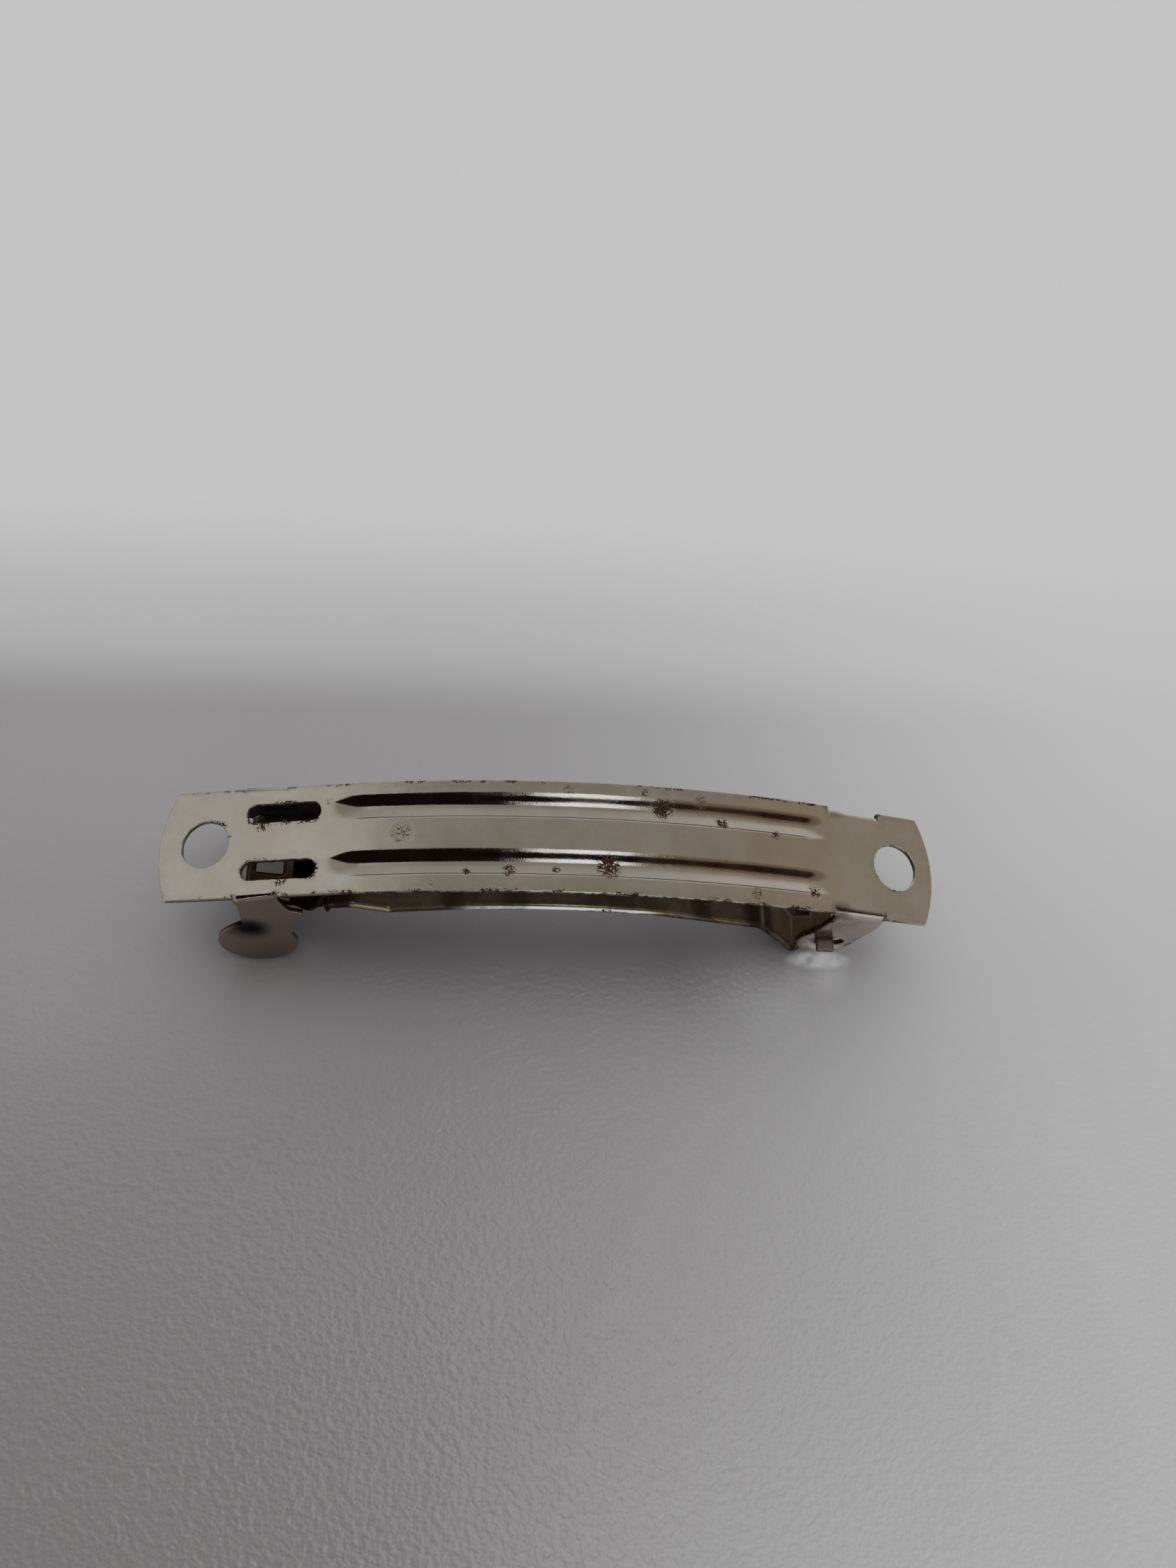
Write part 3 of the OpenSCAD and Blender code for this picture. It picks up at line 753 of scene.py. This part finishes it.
def tarnish(net, at, marks, tint, far_tint, cloud_tint, painted_edge_light):
    """The metal's colour, clouded and smudged, with dull tabs and ears, dark stains, painted shade on the
    undersides and in the stained places, and painted light and shade on the edges of the arm and the bar.
    """
    rim, along = marks["rim"], marks["along"]
    x = net.node("ShaderNodeSeparateXYZ", {0: at}).outputs["X"]
    colour = net.mix(net.ramp(x, -0.01, 0.036), tint, far_tint)
    colour = net.mix(net.ramp(net.noise(at, 180, 3), 0.40, 0.66, 0, 0.6), colour, cloud_tint)
    smudge = net.times(net.noise(at, 1100, 3), net.ramp(rim, 0.0, 1.3, 0.85, 0.45))
    colour = net.mix(net.ramp(smudge, 0.2, 0.42, 0, 0.45), colour, cloud_tint)
    # on the arm and the bar: a painted highlight along the edges in the strip's middle, and painted shade
    # on the edges elsewhere
    if painted_edge_light:  # bright in the middle of a strip and dark elsewhere
        edge = net.mix(net.ramp(net.size(x), 0.008, 0.011), EDGE_PAINTED_HIGHLIGHT, EDGE_PAINTED_SHADE)
        colour = net.mix(net.ramp(rim, 0.1, 0.35, 0.85, 0), colour, edge)
    colour = net.mix(marks["tab"], colour, TAB_TINT)
    # the ears are browner towards the latch, along their edges most of all
    mottle = net.times(net.ramp(net.noise(at, 700, 3), 0.4, 0.6), net.ramp(along, 33.8, 30.5, 0.0, 0.5))
    edging = net.times(net.ramp(rim, 0.7, 0.25), net.ramp(along, 32.5, 31.0, 0.0, 0.85))
    colour = net.mix(marks["ear"], colour, net.mix(net.most(mottle, edging), EAR_TINT, EAR_BROWN))
    # painted shade: the undersides are painted dark, darkest on the tabs
    under_shade = net.mix(marks["tab"], UNDER_SHADE_TINT, TAB_UNDER_SHADE_TINT)
    colour = net.mix(net.ramp(marks["under"], 0.2, 0.9), colour, under_shade)
    # stains, and painted shade where the marks carry it
    return net.mix(marks["stain"], colour, STAIN_AND_SHADE_TINT)


def dirt_and_shade_on(net, at, marks, patch, grime, rust):
    """Where rust and dirt lie: blots, threads near the edges, a thin line round them, and creases; and
    painted shade inside the tabs.
    """
    rim, under, along, tab = marks["rim"], marks["under"], marks["along"], marks["tab"]
    # less of it at the plate's two ends, and little on the tabs
    tips = net.ramp(net.size(along), 34.0, 38.0, grime, 0.2 * grime)
    share = net.times(tips, net.minus(1.0, net.times(tab, 0.9)))
    amount = net.times(net.ramp(rim, 0.04, 0.5, 0.85, 0), net.ramp(patch, 0.5, 0.63))
    amount = net.times(net.times(amount, share), net.ramp(under, 0.05, 0.5, 1, 0.25))
    point = net.node("ShaderNodeCombineXYZ", {0: along, 1: marks["across"]}).outputs[0]
    for s, v, radius, strength in rust:
        blot = net.ramp(net.distance(point, (s, v, 0)), radius * 0.2, radius, strength, 0)
        amount = net.most(amount, blot)
    ridge = net.size(net.minus(net.noise(at, 2600, 3, 0.6), 0.5))
    dirt_and_shade = net.ramp(net.minus(net.times(amount, 0.11), ridge), 0.0, 0.012)
    broken = net.ramp(net.noise(at, 1300, 1), 0.38, 0.55, 0.3, 1)
    dirt_and_shade = net.most(dirt_and_shade, net.times(net.times(net.ramp(rim, 0.03, 0.11, 0.9, 0), broken), share))
    dirt_and_shade = net.most(dirt_and_shade, net.times(marks["crease"], 0.95))
    # painted shade: the tabs' undersides take the dark rust colour
    return net.most(dirt_and_shade, net.times(net.ramp(under, 0.6, 0.9, 0.0, 0.85), tab))


def metal(name, tint, far_tint, cloud_tint, rough, grime, bare, rust=()):
    """Worn nickel plate: tint turns to far_tint towards the hinge; bare is the share of clean metal."""
    made, net, shader = fresh_material(name)
    at = net.node("ShaderNodeTexCoord").outputs["Object"]
    marks = {key: net.mark(key) for key in MARKS}
    patch = net.noise(at, 420)
    colour = tarnish(net, at, marks, tint, far_tint, cloud_tint, painted_edge_light=not rust)
    dirt_and_shade = dirt_and_shade_on(net, at, marks, patch, grime, rust)
    rusty = net.mix(net.noise(at, 5200), RUST_DARK, RUST_BROWN)
    relief = net.minus(net.times(net.noise(at, 9000), 0.6), net.times(dirt_and_shade, 0.6))
    wear = net.ramp(patch, 0.3, 0.75, rough - 0.03, rough + 0.05)
    dull = net.times(net.most(net.ramp(marks["under"], 0.2, 0.9), marks["tab"]), 0.34)
    net.feed(shader["Base Color"], net.mix(dirt_and_shade, colour, rusty))
    net.feed(shader["Metallic"], net.minus(bare, net.times(dirt_and_shade, 0.9 * bare)))
    net.feed(shader["Roughness"], net.plus(net.most(wear, dull), net.times(dirt_and_shade, 0.4)))
    net.feed(shader["Normal"], net.bump(relief, 0.28, 0.00004))
    shader["Specular IOR Level"].default_value = 0.2
    return made


plate_metal = metal("nickel_plate", (0.78, 0.75, 0.69), (0.78, 0.72, 0.62), (0.65, 0.595, 0.51),
                    rough=0.10, grime=1.0, bare=1.0, rust=RUST)
arm_metal = metal("nickel_arm", (0.58, 0.50, 0.37), (0.50, 0.41, 0.29), (0.26, 0.19, 0.11),
                  rough=0.24, grime=0.6, bare=0.62)
bar_metal = metal("nickel_bar", (0.44, 0.37, 0.28), (0.44, 0.36, 0.26), (0.26, 0.19, 0.12),
                  rough=0.26, grime=0.5, bare=0.7)

for piece, cad, body, look, slot in (
        (plate, "base_plate", "base", plate_metal, "plate_steel"),
        (arm, "clasp_arm", "arm", arm_metal, "arm_steel"),
        (bar, "tension_bar", "base", bar_metal, "bar_steel")):
    piece.data.materials.append(look)
    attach(piece, body)
    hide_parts(cad)
    for cad_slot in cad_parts[cad].material_slots:
        cad_slot.material = look


# the table

TABLE_HALF = 3.0
TABLE_PALE, TABLE_SHADED = (0.86, 0.86, 0.87), (0.162, 0.152, 0.155)
# the soft shade on the near left half of the table, in terms that add up.
# columns: y where a term starts and where it is whole, two places in x, its strength at each
SHADE = [
    [0.053, 0.031, 0.08, -0.02, 0.17, 0.50],
    [0.033, 0.021, 0.08, 0.0, 0.1, 0.36],
    [0.024, -0.012, -0.01, 0.04, 0.05, 0.16],
    [-0.008, -0.03, 0.04, -0.01, 0.0, 0.05],
    [-0.02, -0.065, 0.015, -0.03, 0.0, 0.02],
]
# paler places: light thrown back by the hinge end, and the gloss on the near side.
# columns: x, y, radius, strength
PALE_SPOTS = [[0.024, -0.0065, 0.011, 0.2], [0.030, -0.008, 0.0035, 0.25], [0.026, -0.08, 0.045, 0.16]]
# the small glint under the ear and its peg, wide along the clip
GLINT_X, GLINT_Y, GLINT_SQUEEZE = 0.0294, -0.0066, 3.2
GLINT_TONE = (0.93, 0.96, 1.0, 1)


def table_material():
    made, net, shader = fresh_material("table_top")
    at = net.node("ShaderNodeTexCoord").outputs["Object"]
    part = net.node("ShaderNodeSeparateXYZ", {0: at}).outputs
    shade = 0.0
    for y_start, y_whole, x_0, x_1, at_0, at_1 in SHADE:
        term = net.times(net.ramp(part["Y"], y_start, y_whole), net.ramp(part["X"], x_0, x_1, at_0, at_1))
        shade = net.plus(shade, term)
    for x, y, radius, strength in PALE_SPOTS:
        shade = net.minus(shade, net.ramp(net.distance(at, (x, y, 0)), 0.0, radius, strength, 0))
    squeeze = {0: at, 1: (1.0, GLINT_SQUEEZE, 1.0)}
    squeezed = net.node("ShaderNodeVectorMath", squeeze, operation="MULTIPLY").outputs["Vector"]
    gap = net.distance(squeezed, (GLINT_X, GLINT_Y * GLINT_SQUEEZE, 0))
    ragged = net.ramp(net.noise(at, 900), 0.35, 0.6, 0.45, 1.0)
    net.feed(shader["Base Color"], net.mix(shade, TABLE_PALE, TABLE_SHADED))
    shader["Roughness"].default_value = 0.25
    shader["Emission Color"].default_value = GLINT_TONE
    net.feed(shader["Emission Strength"], net.times(net.ramp(gap, 0.0015, 0.0041, 0.24, 0), ragged))
    # a pebbled surface, which shows most on the near side
    pebbled = net.ramp(part["Y"], 0.01, -0.06, 0.12, 0.42)
    net.feed(shader["Normal"], net.bump(net.noise(at, 1500, 1), pebbled, 0.0003))
    return made


def table():
    mesh = bpy.data.meshes.new("table_top")
    corners = [(-1, -1), (1, -1), (1, 1), (-1, 1)]
    mesh.from_pydata([(x * TABLE_HALF, y * TABLE_HALF, 0) for x, y in corners], [], [(0, 1, 2, 3)])
    mesh.materials.append(table_material())
    made = bpy.data.objects.new("table_top", mesh)
    bpy.context.scene.collection.objects.link(made)
    return made


table_top = table()


# light: what the metal mirrors, by direction

PALE_LEFT = (0.46, 0.445, 0.402)
DIM_MIDDLE = (0.245, 0.228, 0.206)
BROWN_RIGHT = (0.25, 0.222, 0.178)
FAR_WALL = (0.325, 0.315, 0.295)
FAR_RIGHT = (0.50, 0.47, 0.42)
BROWN_NEAR = (0.17, 0.135, 0.10)
DARK_RIGHT = (0.022, 0.014, 0.008)
DARK_NEAR = (0.011, 0.005, 0.006)
LAMP_TONE = (2.4, 2.35, 2.3)
LOW_WINDOW = (2.3, 2.4, 2.6)
LOW_LEFT = (0.80, 0.70, 0.69)
NEAR_WALL = (0.30, 0.29, 0.28)
END_WALL = (0.27, 0.255, 0.23)
BACKDROP = (0.50, 0.50, 0.50)

# middles of the lamp overhead and of the low window, in degrees: to the right, and towards the viewer
LAMP_RIGHT, LAMP_NEAR = 6.0, 7.0
WINDOW_RIGHT, WINDOW_NEAR = 12.0, 66.0


def sky():
    """A plain room of soft light: pale far side, one lamp overhead, dim near side with a low window."""
    world = bpy.data.worlds.new("studio")
    world.use_nodes = True
    net = Net(world.node_tree)
    way = net.node("ShaderNodeTexCoord").outputs["Generated"]
    part = net.node("ShaderNodeSeparateXYZ", {0: way}).outputs
    # angles in degrees: to the right of the middle plane, and from straight up towards the viewer
    to_right = net.maths("DEGREES", net.maths("ARCSINE", part["X"]))
    to_viewer = net.maths("DEGREES", net.maths("ARCTAN2", net.times(part["Y"], -1.0), part["Z"]))

    def within(angle, middle, whole, edge):
        """1 where the angle is within whole of the middle, 0 beyond edge."""
        return net.ramp(net.size(net.minus(angle, middle)), whole, edge, 1, 0)

    room = net.mix(net.ramp(to_right, -31, -18), PALE_LEFT, DIM_MIDDLE)
    room = net.mix(net.ramp(to_right, 22, 36), room, BROWN_RIGHT)
    far = net.mix(net.ramp(to_right, 5, 32), FAR_WALL, FAR_RIGHT)
    room = net.mix(net.ramp(to_viewer, -34, -72), room, far)
    near = net.mix(net.ramp(to_viewer, 18, 30), BROWN_NEAR, DARK_RIGHT)
    room_right = net.mix(net.ramp(to_viewer, -14, 8), room, near)
    room = net.mix(net.ramp(to_viewer, -13, -3), room, DARK_NEAR)
    room = net.mix(net.ramp(to_right, 12, 20), room, room_right)
    # the room's two ends, which only reflections see
    ray = net.node("ShaderNodeLightPath").outputs
    ends = net.times(net.ramp(net.size(to_right), 38, 54), ray["Is Glossy Ray"])
    room = net.mix(ends, room, END_WALL)
    lamp = net.times(within(to_right, LAMP_RIGHT, 3, 9), within(to_viewer, LAMP_NEAR, 13, 17))
    lit = net.mix(lamp, room, LAMP_TONE)
    low = within(to_viewer, WINDOW_NEAR, 8, 12)
    lit = net.mix(net.times(low, within(to_right, WINDOW_RIGHT, 16, 20)), lit, LOW_WINDOW)
    lit = net.mix(net.times(low, net.ramp(to_right, -24, -30)), lit, LOW_LEFT)
    lit = net.mix(net.ramp(to_viewer, 80, 88), lit, NEAR_WALL)
    # seen straight on, the room is one plain pale wall
    lit = net.mix(ray["Is Camera Ray"], lit, BACKDROP)
    background = world.node_tree.nodes["Background"].inputs
    net.feed(background["Color"], lit)
    background["Strength"].default_value = 1.0
    bpy.context.scene.world = world


def soft_lamp(name, place, aim, size, power, colour):
    data = bpy.data.lights.new(name, "AREA")
    data.shape, data.size, data.energy, data.color = "DISK", size, power, colour
    lamp = bpy.data.objects.new(name, data)
    lamp.location = place
    lamp.rotation_mode = "QUATERNION"
    lamp.rotation_quaternion = (Vector(aim) - Vector(place)).to_track_quat("-Z", "Y")
    lamp.visible_glossy = False
    bpy.context.scene.collection.objects.link(lamp)


sky()
soft_lamp("far_window", place=(0.15, 0.8, 1.3), aim=(0, 0, 0), size=2.2, power=34.5,
          colour=(0.98, 0.99, 1.0))


# the camera, at the photo's place; its focal length in pixels goes with the photo's long side

CAMERA_AT = Vector((-3.85, -44.24, 129.107)) * MM
VIEW_AXIS = Vector((0.05642, 0.40738, -0.91152)).normalized()
VIEW_UP = Vector((-0.0327, 0.91323, 0.40612))
FOCAL_PX, LONG_SIDE_PX = 1750.0, 2212.0


def camera():
    data = bpy.data.cameras.new("camera")
    made = bpy.data.objects.new("camera", data)
    bpy.context.scene.collection.objects.link(made)
    back = -VIEW_AXIS
    up = (VIEW_UP - back * VIEW_UP.dot(back)).normalized()
    right = up.cross(back)
    turned = Matrix((right, up, back)).transposed().to_4x4()
    made.matrix_world = Matrix.Translation(CAMERA_AT) @ turned
    data.sensor_fit, data.sensor_width = "AUTO", 36.0
    data.lens = data.sensor_width * FOCAL_PX / LONG_SIDE_PX
    data.clip_start, data.clip_end = 0.005, 20.0
    bpy.context.scene.camera = made


camera()
